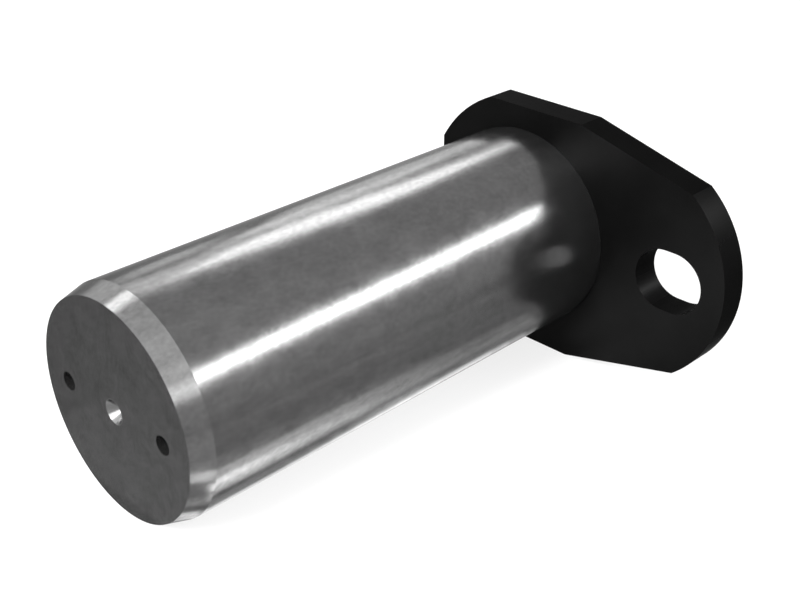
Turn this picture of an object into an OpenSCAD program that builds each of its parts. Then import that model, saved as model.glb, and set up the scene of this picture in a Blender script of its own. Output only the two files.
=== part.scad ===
// Flagged linkage pin: a turned steel shaft with a keeper plate, the flag, welded
// behind it. All sizes are in millimetres. The shaft lies along +X with its free
// end out in front, the flag's bolt slot is on the +Y side, and the origin is on
// the shaft's axis at the flag's front face, where the pin seats.

/* [Shaft] */
// Diameter of the ground bearing surface
shaft_d = 80; // [60:0.5:110]
// Length from the flag's front face to the free end
shaft_len = 190.5; // [90:0.5:400]
// Length of the lead-in taper at the free end
lead_len = 8; // [2:0.5:20]
// How much the lead-in taper takes off the radius
lead_drop = 2.3; // [0.5:0.1:6]

/* [End face] */
// Diameter of the two blind holes beside the turning centre
end_hole_d = 6.5; // [3:0.1:12]
// Depth of the full diameter of those holes
end_hole_depth = 20; // [6:0.5:40]
// Distance of each hole's axis in from the shaft's surface
end_hole_inset = 15; // [10:0.5:20]
// Mouth diameter of the turning centre
centre_mouth_d = 8.5; // [6:0.1:12]
// Pilot diameter of the turning centre
centre_pilot_d = 4; // [2:0.1:5.5]
// Length of the pilot below the cone
centre_pilot_len = 4.5; // [2:0.5:10]

/* [Seat in the flag] */
// How much smaller in radius the spigot through the flag is than the shaft
spigot_step = 10; // [4:0.5:15]
// How far the spigot's end stands beyond the weld
spigot_lip = 1.5; // [0.5:0.5:6]
// Chamfer round the spigot's end
spigot_chamfer = 1; // [0.2:0.1:3]
// Depth of the round recess in the flag's front face that takes the shaft's shoulder
recess_depth = 2; // [0.5:0.5:4]
// How much the shoulder is relieved in radius where it enters the recess
shoulder_relief = 0.5; // [0.1:0.1:1]
// Radial clearance of the recess round the shaft and of the bore round the spigot
seat_play = 0.05; // [0.02:0.01:0.2]

/* [Flag] */
// Thickness of the flag
flag_t = 12; // [6:0.5:20]
// How far the flag's level top and bottom edges stand beyond the shaft
edge_land = 9; // [4:0.5:25]
// How far the flag's straight back edge stands beyond the shaft
back_land = 2; // [1:0.5:12]
// How far the arcs at the back corners stand beyond the shaft's radius
corner_land = 14; // [9:0.5:25]
// Distance of those arcs' centre from the shaft's axis, towards the slot
corner_shift = 5; // [0:0.5:10]
// Distance from the shaft's axis to where the edges start to taper
taper_start = 26.5; // [10:0.5:40]
// Angle of the tapered edges
taper_angle = 14.4; // [5:0.1:20]
// How much smaller the nose's radius is than half the flag's height
nose_ease = 2.5; // [0:0.5:6]

/* [Bolt slot] */
// Distance from the shaft's surface to the slot's middle
slot_reach = 30; // [24:0.5:60]
// Width of the slot
slot_w = 24; // [12:0.1:30]
// Length of the slot from end to end, along the flag
slot_len = 28; // [26:0.5:34]
// Metal left between the slot and the tip of the nose
nose_land = 9.5; // [5:0.5:20]

/* [Weld] */
// Leg of the fillet weld, on the flag's back and along the spigot
weld_leg = 7; // [4:0.5:9]
// How far the weld's face swells beyond flat
weld_bulge = 0.9; // [0.2:0.1:1.5]
// Height of the ripples on the weld's face
ripple_h = 0.45; // [0.1:0.05:0.8]
// Number of ripples round the weld
ripple_count = 48; // [24:1:60]
// How far each ripple's middle lags behind its ends, in degrees round the weld
ripple_lag = 4; // [0:0.5:6]

/* [Hidden] */
$fn = 96;

shaft_r = shaft_d / 2;
spigot_r = shaft_r - spigot_step;
spigot_end = -(flag_t + weld_leg + spigot_lip);

flag_half_h = shaft_r + edge_land;
slot_y = shaft_r + slot_reach;
nose_tip = slot_y + slot_len / 2 + nose_land;
nose_r = flag_half_h - nose_ease;
tip_half_h = flag_half_h - (nose_tip - taper_start) * tan(taper_angle);

// A drill's point and a turning centre's cone, as whole angles
drill_point_angle = 118;
centre_cone_angle = 60;

// Overlap that makes a cut run past the surface it opens through
cut = 1;

// Steps along one ripple, steps across the weld's face, and the hairline between
// the weld and the spigot's round side
ripple_steps = 5;
face_steps = 6;
weld_play = 0.02;

// A round thing drawn along +Z, laid along +X
module along_x() {
    rotate([0, 90, 0])
        children();
}

// A flat thing drawn in x and y, stood up so that x runs along Y and y along Z,
// with its thickness towards +X
module stood_up() {
    rotate([90, 0, 90])
        children();
}

// A blind drilled hole, its mouth at the origin and its point towards -Z
module drilled_hole(d, depth) {
    point_len = d / 2 / tan(drill_point_angle / 2);
    translate([0, 0, -depth])
        cylinder(d = d, h = depth + cut);
    translate([0, 0, -depth - point_len])
        cylinder(d1 = 0, d2 = d, h = point_len);
}

// A turning centre, its mouth at the origin: a cone that the lathe's point bears
// on, with a pilot below it
module turning_centre() {
    cone_slope = tan(centre_cone_angle / 2);
    cone_len = (centre_mouth_d - centre_pilot_d) / 2 / cone_slope;
    translate([0, 0, -cone_len])
        cylinder(d1 = centre_pilot_d, d2 = centre_mouth_d + 2 * cut * cone_slope,
                 h = cone_len + cut);
    translate([0, 0, -cone_len])
        drilled_hole(centre_pilot_d, centre_pilot_len);
}

// Half section of the turned blank: the distance from the axis, then the place
// along it
module shaft_section() {
    polygon([
        [0, spigot_end],
        [spigot_r - spigot_chamfer, spigot_end],
        [spigot_r, spigot_end + spigot_chamfer],
        [spigot_r, -recess_depth],
        [shaft_r - shoulder_relief, -recess_depth],
        [shaft_r - shoulder_relief, 0],
        [shaft_r, 0],
        [shaft_r, shaft_len - lead_len],
        [shaft_r - lead_drop, shaft_len],
        [0, shaft_len]
    ]);
}

// The turned shaft, with both turning centres and the pair of blind holes
module pin_shaft() {
    color("silver")
        along_x()
            difference() {
                rotate_extrude()
                    shaft_section();
                translate([0, 0, shaft_len]) {
                    turning_centre();
                    for (side = [-1, 1])
                        translate([0, side * (shaft_r - end_hole_inset), 0])
                            drilled_hole(end_hole_d, end_hole_depth);
                }
                translate([0, 0, spigot_end])
                    mirror([0, 0, 1])
                        turning_centre();
            }
}

// The flag's straight edges: level above and below the shaft, then tapering
module flag_edges() {
    polygon([
        [-shaft_r - back_land, -flag_half_h],
        [taper_start, -flag_half_h],
        [nose_tip, -tip_half_h],
        [nose_tip, tip_half_h],
        [taper_start, flag_half_h],
        [-shaft_r - back_land, flag_half_h]
    ]);
}

// A circle that bounds a shape on one side only: the other side is open. towards
// is 1 where the circle bounds the +x side, and -1 where it bounds the -x side
module bounded_by_arc(r, middle, towards) {
    open = 2 * nose_tip;
    translate([middle, 0])
        circle(r = r);
    translate([middle - (towards > 0 ? open : 0), -open])
        square([open, 2 * open]);
}

module flag_outline() {
    intersection() {
        flag_edges();
        bounded_by_arc(shaft_r + corner_land, corner_shift, -1);
        bounded_by_arc(nose_r, nose_tip - nose_r, 1);
    }
}

// The bolt slot, longer along the flag so that the bolt can find its hole
module bolt_slot() {
    straight = slot_len - slot_w;
    for (side = [-1, 1])
        translate([slot_y + side * straight / 2, 0])
            circle(d = slot_w);
    translate([slot_y - straight / 2, -slot_w / 2])
        square([straight, slot_w]);
}

// The flag, profile cut from plate, bored for the spigot and recessed for the shaft
module flag_plate() {
    color("#1c1c1d")
        difference() {
            translate([-flag_t, 0, 0])
                stood_up()
                    linear_extrude(height = flag_t)
                        difference() {
                            flag_outline();
                            bolt_slot();
                            circle(r = spigot_r + seat_play);
                        }
            translate([-recess_depth, 0, 0])
                along_x()
                    cylinder(r = shaft_r + seat_play, h = recess_depth + cut);
        }
}

// How far a ripple stands up, from its crease round its crest to the next crease
function ripple_rise(step) =
    let (along = 2 * step / ripple_steps - 1)
    ripple_h * (1 - along * along);

// A point on the weld's face, as distance from the spigot and from the flag.
// across runs from 0 at the toe on the flag to 1 at the toe on the spigot
function face_point(across, rise) =
    let (swell = (weld_bulge + rise) * sin(180 * across) / sqrt(2))
    [weld_leg * (1 - across) + swell, weld_leg * across + swell];

// One ring of the weld's section, turned to its place round the spigot
function weld_ring(place, angle, inner_r) =
    let (rise = ripple_rise(place % ripple_steps))
    [
        [-flag_t, inner_r * sin(angle), inner_r * cos(angle)],
        for (k = [0 : face_steps])
            let (across = k / face_steps)
            let (p = face_point(across, rise))
            let (turned = angle - ripple_lag * sin(180 * across))
            let (r = inner_r + p[0])
            [-flag_t - p[1], r * sin(turned), r * cos(turned)]
    ];

// The fillet weld that joins the spigot to the flag's back, a row of overlapping
// crescents swept round the spigot
module weld_bead() {
    rings = ripple_count * ripple_steps;
    side = face_steps + 2;
    inner_r = (spigot_r + weld_play) / cos(180 / rings);
    points = [
        for (i = [0 : rings - 1])
            each weld_ring(i, 360 * i / rings, inner_r)
    ];
    faces = [
        for (i = [0 : rings - 1])
            for (k = [0 : side - 1])
                let (here = i * side, next = ((i + 1) % rings) * side, above = (k + 1) % side)
                each [
                    [here + k, next + k, next + above],
                    [here + k, next + above, here + above]
                ]
    ];
    color("#222223")
        polyhedron(points = points, faces = faces);
}

pin_shaft();
flag_plate();
weld_bead();
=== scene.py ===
import math

import bmesh
import bpy
from mathutils import Matrix, Vector


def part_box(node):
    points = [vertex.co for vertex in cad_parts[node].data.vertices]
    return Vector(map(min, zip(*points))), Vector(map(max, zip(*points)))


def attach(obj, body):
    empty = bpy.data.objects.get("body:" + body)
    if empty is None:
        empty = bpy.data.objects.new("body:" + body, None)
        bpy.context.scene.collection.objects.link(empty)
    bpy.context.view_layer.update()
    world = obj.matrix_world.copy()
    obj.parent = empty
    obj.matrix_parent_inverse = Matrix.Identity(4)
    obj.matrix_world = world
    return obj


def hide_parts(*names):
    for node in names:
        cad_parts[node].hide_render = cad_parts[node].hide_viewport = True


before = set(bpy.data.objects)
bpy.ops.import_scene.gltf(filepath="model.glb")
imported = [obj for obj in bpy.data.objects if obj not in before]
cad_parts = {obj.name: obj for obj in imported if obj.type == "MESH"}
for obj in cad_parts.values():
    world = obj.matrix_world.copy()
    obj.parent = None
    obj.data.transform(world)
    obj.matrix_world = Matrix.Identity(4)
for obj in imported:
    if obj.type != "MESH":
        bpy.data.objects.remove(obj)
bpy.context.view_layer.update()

scene = bpy.context.scene
scene.view_settings.view_transform = "Standard"

# Places read from the frame, in metres
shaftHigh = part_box("pin_shaft")[1]
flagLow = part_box("flag_plate")[0]
freeEnd = shaftHigh.x
pinRadius = shaftHigh.z
flagBack = flagLow.x
leadIn = 0.008  # length of the lead-in taper at the free end
# The pin lies on the flag's lower edge and on its free end, so the floor leans by this much
floorLean = math.atan2(-flagLow.z - pinRadius, freeEnd - leadIn)
print("frame:", ", ".join(sorted(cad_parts)))


# A socket that Python can do sums with. Each sum adds its own Math node.
class Wire:
    def __init__(self, recipe, socket):
        self.recipe = recipe
        self.socket = socket

    def maths(self, operation, first, second):
        return self.recipe.add("ShaderNodeMath", {"operation": operation}, {0: first, 1: second})

    def __add__(self, other):
        return self.maths("ADD", self, other)

    def __radd__(self, other):
        return self.maths("ADD", other, self)

    def __sub__(self, other):
        return self.maths("SUBTRACT", self, other)

    def __rsub__(self, other):
        return self.maths("SUBTRACT", other, self)

    def __mul__(self, other):
        return self.maths("MULTIPLY", self, other)

    def __rmul__(self, other):
        return self.maths("MULTIPLY", other, self)

    def __gt__(self, other):
        return self.maths("GREATER_THAN", self, other)

    def __lt__(self, other):
        return self.maths("LESS_THAN", self, other)


# A node tree that is written down like a recipe
class Recipe:
    def __init__(self, tree):
        self.tree = tree
        self.tree.nodes.clear()

    # settings go in before the sockets, because some of them change which sockets there are
    def add(self, kind, settings=None, sockets=None, output=0):
        node = self.tree.nodes.new(kind)
        for name, value in (settings or {}).items():
            setattr(node, name, value)
        for name, value in (sockets or {}).items():
            if isinstance(value, Wire):
                self.tree.links.new(value.socket, node.inputs[name])
            else:
                node.inputs[name].default_value = value
        return Wire(self, node.outputs[output]) if node.outputs else None

    def place(self):
        return self.add("ShaderNodeTexCoord", output="Object")

    # clouds of a given size in metres, from 0 to 1 with 0.5 in the middle
    def clouds(self, size, stretch=(1, 1, 1), detail=3):
        scaled = self.add("ShaderNodeMapping", sockets={"Vector": self.place(), "Scale": stretch})
        return self.add("ShaderNodeTexNoise", sockets={
            "Vector": scaled, "Scale": 1 / size, "Detail": detail})

    def grey(self, level):
        return self.add("ShaderNodeCombineColor", sockets={0: level, 1: level, 2: level})

    def finish(self, looks, sockets):
        shader = self.add("ShaderNodeBsdfPrincipled", sockets={
            "Specular IOR Level": looks["specular"],
            "Specular Tint": (*[looks["edgeTint"]] * 3, 1),
            **sockets,
        })
        self.add("ShaderNodeOutputMaterial", sockets={"Surface": shader})


def newRecipe(name):
    material = bpy.data.materials.new(name)
    material.use_nodes = True
    return material, Recipe(material.node_tree)


# Satin black paint on the flag, on the weld and on the pin's end behind the flag
paintLooks = {
    "level": 0.0078,
    "cloudSize": 0.020,
    "variation": 0.25,  # how much the clouds change the level
    "roughness": 0.38,
    "roughnessSpread": 0.1,
    "metal": 0.85,
    "specular": 0.02,
    "edgeTint": 0.2,  # how strongly it mirrors at a grazing angle
    "peelSize": 0.0012,
    "peelHeight": 0.00001,
}
weldLooks = {**paintLooks, "roughness": 0.42, "peelSize": 0.0006, "peelHeight": 0.00003}
steelLooks = {
    "level": 0.110,
    "leadHighlightLevel": 0.124,  # painted highlight: the lead-in taper's colour is a little lighter, standing in for the brighter light it catches
    "endLevel": 0.092,  # the faced free end is a little darker
    "centreLevel": 0.20,  # the cone that the lathe's centre bore on is burnished
    "centreRadius": 0.0044,
    "centreDepth": 0.0042,
    "smudges": 0.20,  # how much the broad, the middling and the fine clouds change the level
    "patches": 0.36,
    "specks": 0.48,
    "endClouds": 0.2,  # how much stronger those clouds are on the free end
    "bands": 0.42,  # the same for the bands that the polishing left along the shaft
    "roughness": 0.20,
    "smudgeRoughness": 0.10,
    "patchRoughness": 0.08,
    "paintedRoughness": 0.2,  # how much rougher the painted end is
    "metal": 0.95,
    "specular": 0.06,
    "edgeTint": 0.45,
    "waveHeight": 0.0000025,
    "scratchHeight": 0.0000025,  # polishing marks along the shaft
    "faceDepth": 0.0002,  # what lies nearer than this to the free end counts as its face
    "marks": {  # size in metres, stretch on x, y and z, and detail
        "smudges": (0.016, (1, 1, 1), 4),
        "patches": (0.005, (0.6, 1, 1), 3),
        "specks": (0.0014, (0.7, 1, 1), 4),
        "bands": (0.009, (0.10, 1, 1), 2),
        "waves": (0.0020, (0.6, 1, 1), 3),
        "scratches": (0.0008, (0.04, 1, 1), 2),
    },
}


def makePaint(name, looks):
    material, recipe = newRecipe(name)
    broad = recipe.clouds(looks["cloudSize"])
    peel = recipe.clouds(looks["peelSize"])
    level = looks["level"] * (1 + (broad - 0.5) * (2 * looks["variation"]))
    recipe.finish(looks, {
        "Base Color": recipe.grey(level),
        "Metallic": looks["metal"],
        "Roughness": looks["roughness"] + (broad - 0.5) * looks["roughnessSpread"],
        "Normal": recipe.add("ShaderNodeBump", sockets={"Height": peel, "Distance": looks["peelHeight"]}),
    })
    return material


def makeSteel():
    looks = steelLooks
    marks = looks["marks"]
    material, recipe = newRecipe("groundSteel")
    place = recipe.place()
    along = recipe.add("ShaderNodeSeparateXYZ", sockets={0: place})
    acrossShaft = (0, 1, 1)
    sideways = recipe.add("ShaderNodeVectorMath", {"operation": "MULTIPLY"}, {0: place, 1: acrossShaft})
    radius = recipe.add("ShaderNodeVectorMath", {"operation": "LENGTH"}, {0: sideways}, "Value")
    smudges = recipe.clouds(*marks["smudges"]) - 0.5
    patches = recipe.clouds(*marks["patches"]) - 0.5
    specks = recipe.clouds(*marks["specks"]) - 0.5
    bands = recipe.clouds(*marks["bands"]) - 0.5
    waves = recipe.clouds(*marks["waves"])
    scratches = recipe.clouds(*marks["scratches"])
    onEnd = along > freeEnd - looks["faceDepth"]
    onLeadIn = (along > freeEnd - leadIn) * (1 - onEnd)
    inCentre = (radius < looks["centreRadius"]) * (along > freeEnd - looks["centreDepth"])
    painted = along < flagBack
    bare = looks["level"] + onEnd * (looks["endLevel"] - looks["level"])
    # painted highlight: the lead-in taper is made lighter to stand in for the light it catches
    bare = bare + onLeadIn * (looks["leadHighlightLevel"] - looks["level"])
    clouds = smudges * looks["smudges"] + patches * looks["patches"] + specks * looks["specks"]
    clouds = clouds * (1 + onEnd * looks["endClouds"])
    bare = bare * (1 + clouds + bands * (1 - onEnd) * looks["bands"])
    bare = bare + inCentre * (looks["centreLevel"] - bare)
    height = waves * looks["waveHeight"] + scratches * looks["scratchHeight"]
    recipe.finish(looks, {
        "Base Color": recipe.grey(bare * (1 - painted) + painted * paintLooks["level"]),
        "Metallic": (1 - painted) * looks["metal"] + painted * paintLooks["metal"],
        "Roughness": looks["roughness"] + smudges * looks["smudgeRoughness"]
                     + patches * looks["patchRoughness"] + painted * looks["paintedRoughness"],
        "Normal": recipe.add("ShaderNodeBump", sockets={"Height": height, "Distance": 1.0}),
    })
    return material


steel = makeSteel()
paint = makePaint("satinBlack", paintLooks)
weldPaint = makePaint("paintedWeld", weldLooks)
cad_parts["pin_shaft"].material_slots[0].material = steel
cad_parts["flag_plate"].material_slots[0].material = paint
print("materials:", steel.name, paint.name, weldPaint.name)

# The fillet weld behind the flag, in place of the plain one. Each ripple is a crescent that
# overlaps the last. Waves round the weld are given as height, number and start.
weldShape = {
    "spigotRadius": 0.03002,
    "leg": 0.007,
    "bulge": 0.0009,
    "ripples": 48,
    "rippleHeight": 0.00045,
    "rippleLag": 4,  # degrees by which a ripple's middle lags behind its ends
    "scallop": 0.00022,  # how far each ripple's toes spread
    "unevenness": 0.22,  # how much the ripples' height varies round the weld
    "unevenWaves": ((0.6, 3, 1), (0.4, 17, 2.6)),
    "wanderWaves": ((0.018, 5, 0.4), (0.011, 13, 2.1)),
    "stopAngle": -70,  # where the weld ends over its own start
    "stopSpread": 7,  # degrees
    "stopHeight": 0.0005,
    "sharpAngle": 50,  # edges that turn by more degrees than this stay sharp
    "stepsRound": 576,
    "stepsAcross": 14,
}


def sumOfWaves(waves, angle):
    return sum(height * math.sin(number * angle + start) for height, number, start in waves)


def makeWeld(shape):
    work = bmesh.new()
    leg = shape["leg"]
    count = shape["stepsAcross"]
    corner = work.verts.new((flagBack, 0, shape["spigotRadius"]))
    ring = [corner]
    for step in range(count + 1):
        across = step / count
        fromAxis = shape["spigotRadius"] + leg * (1 - across)
        ring.append(work.verts.new((flagBack - leg * across, 0, fromAxis)))
    edges = [work.edges.new((first, second)) for first, second in zip(ring, ring[1:] + ring[:1])]
    bmesh.ops.spin(work, geom=ring + edges, axis=(1, 0, 0), cent=(0, 0, 0), angle=math.tau,
                   steps=shape["stepsRound"], use_merge=True)
    for vert in work.verts:
        fromFlag = flagBack - vert.co.x
        radius = math.hypot(vert.co.y, vert.co.z)
        fromSpigot = radius - shape["spigotRadius"]
        if fromFlag + fromSpigot < leg * 0.5:
            continue  # the hidden corner
        across = fromFlag / leg
        middle = math.sin(math.pi * across)
        angle = math.atan2(vert.co.z, vert.co.y)
        wander = sumOfWaves(shape["wanderWaves"], angle)
        turn = (angle + math.radians(shape["rippleLag"]) * middle + wander) * shape["ripples"] / math.tau
        ripple = 1 - (2 * (turn - math.floor(turn)) - 1) ** 2
        uneven = 1 + shape["unevenness"] * sumOfWaves(shape["unevenWaves"], angle)
        fromStop = (math.degrees(angle) - shape["stopAngle"] + 180) % 360 - 180
        stop = shape["stopHeight"] * math.exp(-(fromStop / shape["stopSpread"]) ** 2)
        swell = (shape["bulge"] + stop + shape["rippleHeight"] * ripple * uneven) * middle / math.sqrt(2)
        toe = shape["scallop"] * ripple * uneven * (1 - middle)
        growth = Vector((-swell - toe * across, swell + toe * (1 - across)))
        scale = (radius + growth.y) / radius
        vert.co = (vert.co.x + growth.x, vert.co.y * scale, vert.co.z * scale)
    bmesh.ops.recalc_face_normals(work, faces=work.faces)
    for face in work.faces:
        face.smooth = True
    for edge in work.edges:
        if edge.calc_face_angle(0) > math.radians(shape["sharpAngle"]):
            edge.smooth = False
    mesh = bpy.data.meshes.new("weldRipples")
    work.to_mesh(mesh)
    work.free()
    mesh.materials.append(weldPaint)
    weld = bpy.data.objects.new("weldRipples", mesh)
    scene.collection.objects.link(weld)
    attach(weld, "root")
    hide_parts("weld_bead")
    print("weld:", len(mesh.polygons), "faces")


makeWeld(weldShape)

cameraSetup = {
    "position": (0.35452, 0.2866, 0.21096),
    "facing": (-0.6224, -0.6216, -0.4756),
    "lens": 56.36,
    "sensor": 36.0,
}


def makeCamera(setup):
    data = bpy.data.cameras.new("camera")
    data.lens = setup["lens"]
    data.sensor_width = setup["sensor"]
    camera = bpy.data.objects.new("camera", data)
    turn = Vector(setup["facing"]).to_track_quat("-Z", "Y").to_matrix().to_4x4()
    camera.matrix_world = Matrix.Translation(setup["position"]) @ turn
    scene.collection.objects.link(camera)
    scene.camera = camera


makeCamera(cameraSetup)

floorSetup = {
    "reach": 1.5,
    "segments": 96,
    "gap": 0.00005,  # below the flag's lower edge
    "colour": 0.9,
    "glow": 0.8,  # share of the white seen by the camera that does not depend on the lamps
    "mirrored": 0.77,  # the floor's brightness in the steel and in the paint
}
worldSetup = {"ambient": 0.35}

# From the floor's own level frame, x forwards from the flag's front face, to the pin's frame
floorTurn = (Matrix.Translation((0, 0, flagLow.z - floorSetup["gap"]))
             @ Matrix.Rotation(-floorLean, 4, "Y"))


# What looks at a surface: the camera, a mirror or glass. Each is 1 or 0, and all are 0 for the
# light that the surface gives.
def onlookers(recipe):
    path = recipe.add("ShaderNodeLightPath", output="Is Camera Ray")
    outputs = path.socket.node.outputs
    return path, Wire(recipe, outputs["Is Glossy Ray"]), Wire(recipe, outputs["Is Transmission Ray"])


def makeFloor(setup):
    work = bmesh.new()
    bmesh.ops.create_circle(work, cap_ends=True, radius=setup["reach"], segments=setup["segments"])
    bmesh.ops.transform(work, verts=work.verts, matrix=floorTurn)
    mesh = bpy.data.meshes.new("floor")
    work.to_mesh(mesh)
    work.free()
    floor = bpy.data.objects.new("floor", mesh)
    scene.collection.objects.link(floor)
    material, recipe = newRecipe("floor")
    matt = recipe.add("ShaderNodeBsdfDiffuse", sockets={"Color": (*[setup["colour"]] * 3, 1)})
    white = recipe.add("ShaderNodeEmission", sockets={"Strength": 1.0})
    pale = recipe.add("ShaderNodeEmission", sockets={"Strength": setup["mirrored"]})
    camera, mirror, glass = onlookers(recipe)
    seen = recipe.add("ShaderNodeMixShader", sockets={
        0: camera * setup["glow"] + glass, 1: matt, 2: white})
    mixed = recipe.add("ShaderNodeMixShader", sockets={0: mirror, 1: seen, 2: pale})
    recipe.add("ShaderNodeOutputMaterial", sockets={"Surface": mixed})
    mesh.materials.append(material)


def makeWorld(setup):
    world = bpy.data.worlds.new("studio")
    world.use_nodes = True
    scene.world = world
    recipe = Recipe(world.node_tree)
    ambient = setup["ambient"]
    camera, mirror, glass = onlookers(recipe)
    sky = recipe.add("ShaderNodeBackground", sockets={
        "Color": (1, 1, 1, 1), "Strength": ambient + (camera + mirror + glass) * (1 - ambient)})
    recipe.add("ShaderNodeOutputWorld", sockets={"Surface": sky})


makeFloor(floorSetup)
makeWorld(worldSetup)

# Lamps that stand round the pin: where each is seen from it, in degrees, its size in metres and
# its brightness. Each is usualDistance away unless it says how far.
lampTarget = Vector((0.085, 0.02, 0.0))
usualDistance = 2.5
standingLamps = {
    "overhead": {"azimuth": 0, "elevation": 80, "away": 2.0, "size": (4.0, 2.0), "brightness": 1.0},
    "longStrip": {"azimuth": 131, "elevation": 28.8,
                  "size": (2.2, 0.35), "roll": -9, "brightness": 18.5},
    "longHalo": {"azimuth": 125.5, "elevation": 28.8, "away": 2.4,
                 "size": (0.8, 0.52), "roll": -9, "brightness": 1.8},
    "sideStrip": {"azimuth": 86, "elevation": 28, "size": (0.9, 0.55), "brightness": 5},
    "sideUpper": {"azimuth": 86, "elevation": 42, "size": (0.9, 0.68), "brightness": 1.8},
    "cameraSide": {"azimuth": 33, "elevation": 44, "size": (1.3, 1.6), "brightness": 4},
    "backSquare": {"azimuth": -138, "elevation": 36, "size": (0.75, 0.5), "brightness": 10},
    "backHalo": {"azimuth": -132, "elevation": 36, "away": 2.6,
                 "size": (1.5, 0.9), "brightness": 1.7},
    "backStrip": {"azimuth": -132, "elevation": 12, "size": (0.7, 0.7), "brightness": 3.6},
    "backUpper": {"azimuth": -129, "elevation": 20.5, "away": 2.4,
                  "size": (0.5, 0.42), "brightness": 5},
    "backCorner": {"azimuth": -118.5, "elevation": 13.5, "size": (0.22, 0.55), "brightness": 4},
    "backEnd": {"azimuth": -123, "elevation": 33, "away": 2.4,
                "size": (0.45, 0.5), "brightness": 1.8},
    "farLow": {"azimuth": -103, "elevation": 26, "size": (0.6, 1.4), "brightness": 1.8},
    "front": {"azimuth": 7, "elevation": 41, "size": (0.9, 0.8), "brightness": 78},
    "farSide": {"azimuth": -98, "elevation": 52, "size": (0.45, 0.6), "brightness": 7.5},
}
# Strips that lie just above the floor beside the pin and shine up. Their slices follow the stops of
# brightness from one end to the other, so that they fade. Strips that cross along their length lie
# at different heights, because a reflected ray meets only one of two at the same height.
lowStrips = {
    "lowFading": {
        "from": (0.050, 0.048), "to": (0.180, 0.050), "lift": 0.001, "width": 0.026,
        "slices": 12, "stops": (0.8, 1.3, 1.7, 2.2, 2.6, 2.9, 1.9),
    },
    "flagFoot": {
        "from": (0.002, 0.045), "to": (0.050, 0.045), "lift": 0.001, "width": 0.026,
        "slices": 4, "stops": (0.7, 0.8),
    },
    "leadPatch": {
        "from": (0.166, 0.165), "to": (0.206, 0.165), "lift": 0.001, "width": 0.200,
        "slices": 2, "stops": (0.32, 0.32),
    },
    "farBand": {
        "from": (0.110, 0.172), "to": (-0.090, 0.190), "lift": 0.0015, "width": 0.030,
        "slices": 2, "stops": (0.45, 0.45),
    },
    "lowCore": {
        "from": (0.090, 0.045), "to": (0.180, 0.0485), "lift": 0.0015, "width": 0.007,
        "slices": 10, "stops": (0.1, 1.6, 3.4, 6.0, 7.0),
    },
    "lowMiddle": {
        "from": (0.005, 0.0415), "to": (0.170, 0.0415), "lift": 0.002, "width": 0.006,
        "slices": 12, "stops": (0.65, 0.65, 0.9, 1.0, 1.8, 2.3, 3.0),
    },
    "edgeEnd": {
        "from": (0.115, 0.0300), "to": (0.175, 0.0300), "lift": 0.002, "width": 0.006,
        "slices": 5, "stops": (0.3, 0.9, 0.9),
    },
    "lowOuter": {
        "from": (0.060, 0.071), "to": (0.165, 0.071), "lift": 0.002, "width": 0.016,
        "slices": 6, "stops": (0.05, 0.2, 0.35, 0.4),
    },
    "leadFoot": {
        "from": (0.170, 0.037), "to": (0.190, 0.037), "lift": 0.0025, "width": 0.007,
        "slices": 4, "stops": (0.5, 1.1, 1.1),
    },
    "lowCorner": {
        "from": (0.176, 0.061), "to": (0.190, 0.065), "lift": 0.001, "width": 0.012,
        "slices": 3, "stops": (2.0, 4.2, 2.0),
    },
    "leadEdge": {
        "from": (0.174, 0.0262), "to": (0.192, 0.0262), "lift": 0.0015, "width": 0.004,
        "slices": 3, "stops": (1.5, 5.0, 1.5),
    },
    "lowEnd": {
        "from": (0.195, -0.022), "to": (0.235, -0.022), "lift": 0.001, "width": 0.080,
        "slices": 5, "stops": (0.36, 0.02),
    },
    "edgeNear": {
        "from": (0.060, 0.0190), "to": (0.196, 0.0225), "lift": 0.001, "width": 0.005,
        "slices": 8, "stops": (0.3, 1.7, 1.9, 1.8, 2.8),
    },
    "edgeFar": {
        "from": (0.010, 0.0235), "to": (0.140, 0.0235), "lift": 0.0015, "width": 0.009,
        "slices": 12, "stops": (0.6, 3.2, 3.4, 2.6, 1.2, 0.1),
    },
    "edgeSpot": {
        "from": (0.055, 0.031), "to": (0.120, 0.031), "lift": 0.001, "width": 0.006,
        "slices": 7, "stops": (0.2, 2.4, 0.2),
    },
}


def addLamp(name, size, brightness, matrix):
    data = bpy.data.lights.new(name, "AREA")
    data.shape = "RECTANGLE"
    data.size, data.size_y = size
    data.energy = brightness * size[0] * size[1] * math.pi  # so that its face has that brightness
    lamp = bpy.data.objects.new(name, data)
    lamp.matrix_world = matrix
    scene.collection.objects.link(lamp)
    return lamp


for name, setup in standingLamps.items():
    azimuth, elevation = math.radians(setup["azimuth"]), math.radians(setup["elevation"])
    level = math.cos(elevation)
    outward = Vector((math.cos(azimuth) * level, math.sin(azimuth) * level, math.sin(elevation)))
    position = lampTarget + outward * setup.get("away", usualDistance)
    roll = Matrix.Rotation(math.radians(setup.get("roll", 0)), 4, "Z")
    turn = outward.to_track_quat("Z", "Y").to_matrix().to_4x4() @ roll
    addLamp(name, setup["size"], setup["brightness"], Matrix.Translation(position) @ turn)


def brightnessAt(stops, share):
    spot = share * (len(stops) - 1)
    index = min(int(spot), len(stops) - 2)
    return stops[index] + (stops[index + 1] - stops[index]) * (spot - index)


faceUp = Matrix.Rotation(math.pi, 4, "X")
for name, setup in lowStrips.items():
    start, end = Vector(setup["from"]), Vector(setup["to"])
    length = (end - start).length / setup["slices"]
    heading = Matrix.Rotation(math.atan2(end.y - start.y, end.x - start.x), 4, "Z")
    for index in range(setup["slices"]):
        share = (index + 0.5) / setup["slices"]
        middle = start.lerp(end, share)
        matrix = floorTurn @ Matrix.Translation((middle.x, middle.y, setup["lift"])) @ heading @ faceUp
        lamp = addLamp(name, (length, setup["width"]), brightnessAt(setup["stops"], share), matrix)
        lamp.visible_camera = False
print("studio: camera, floor, world,", len(standingLamps), "lamps and", len(lowStrips), "low strips")
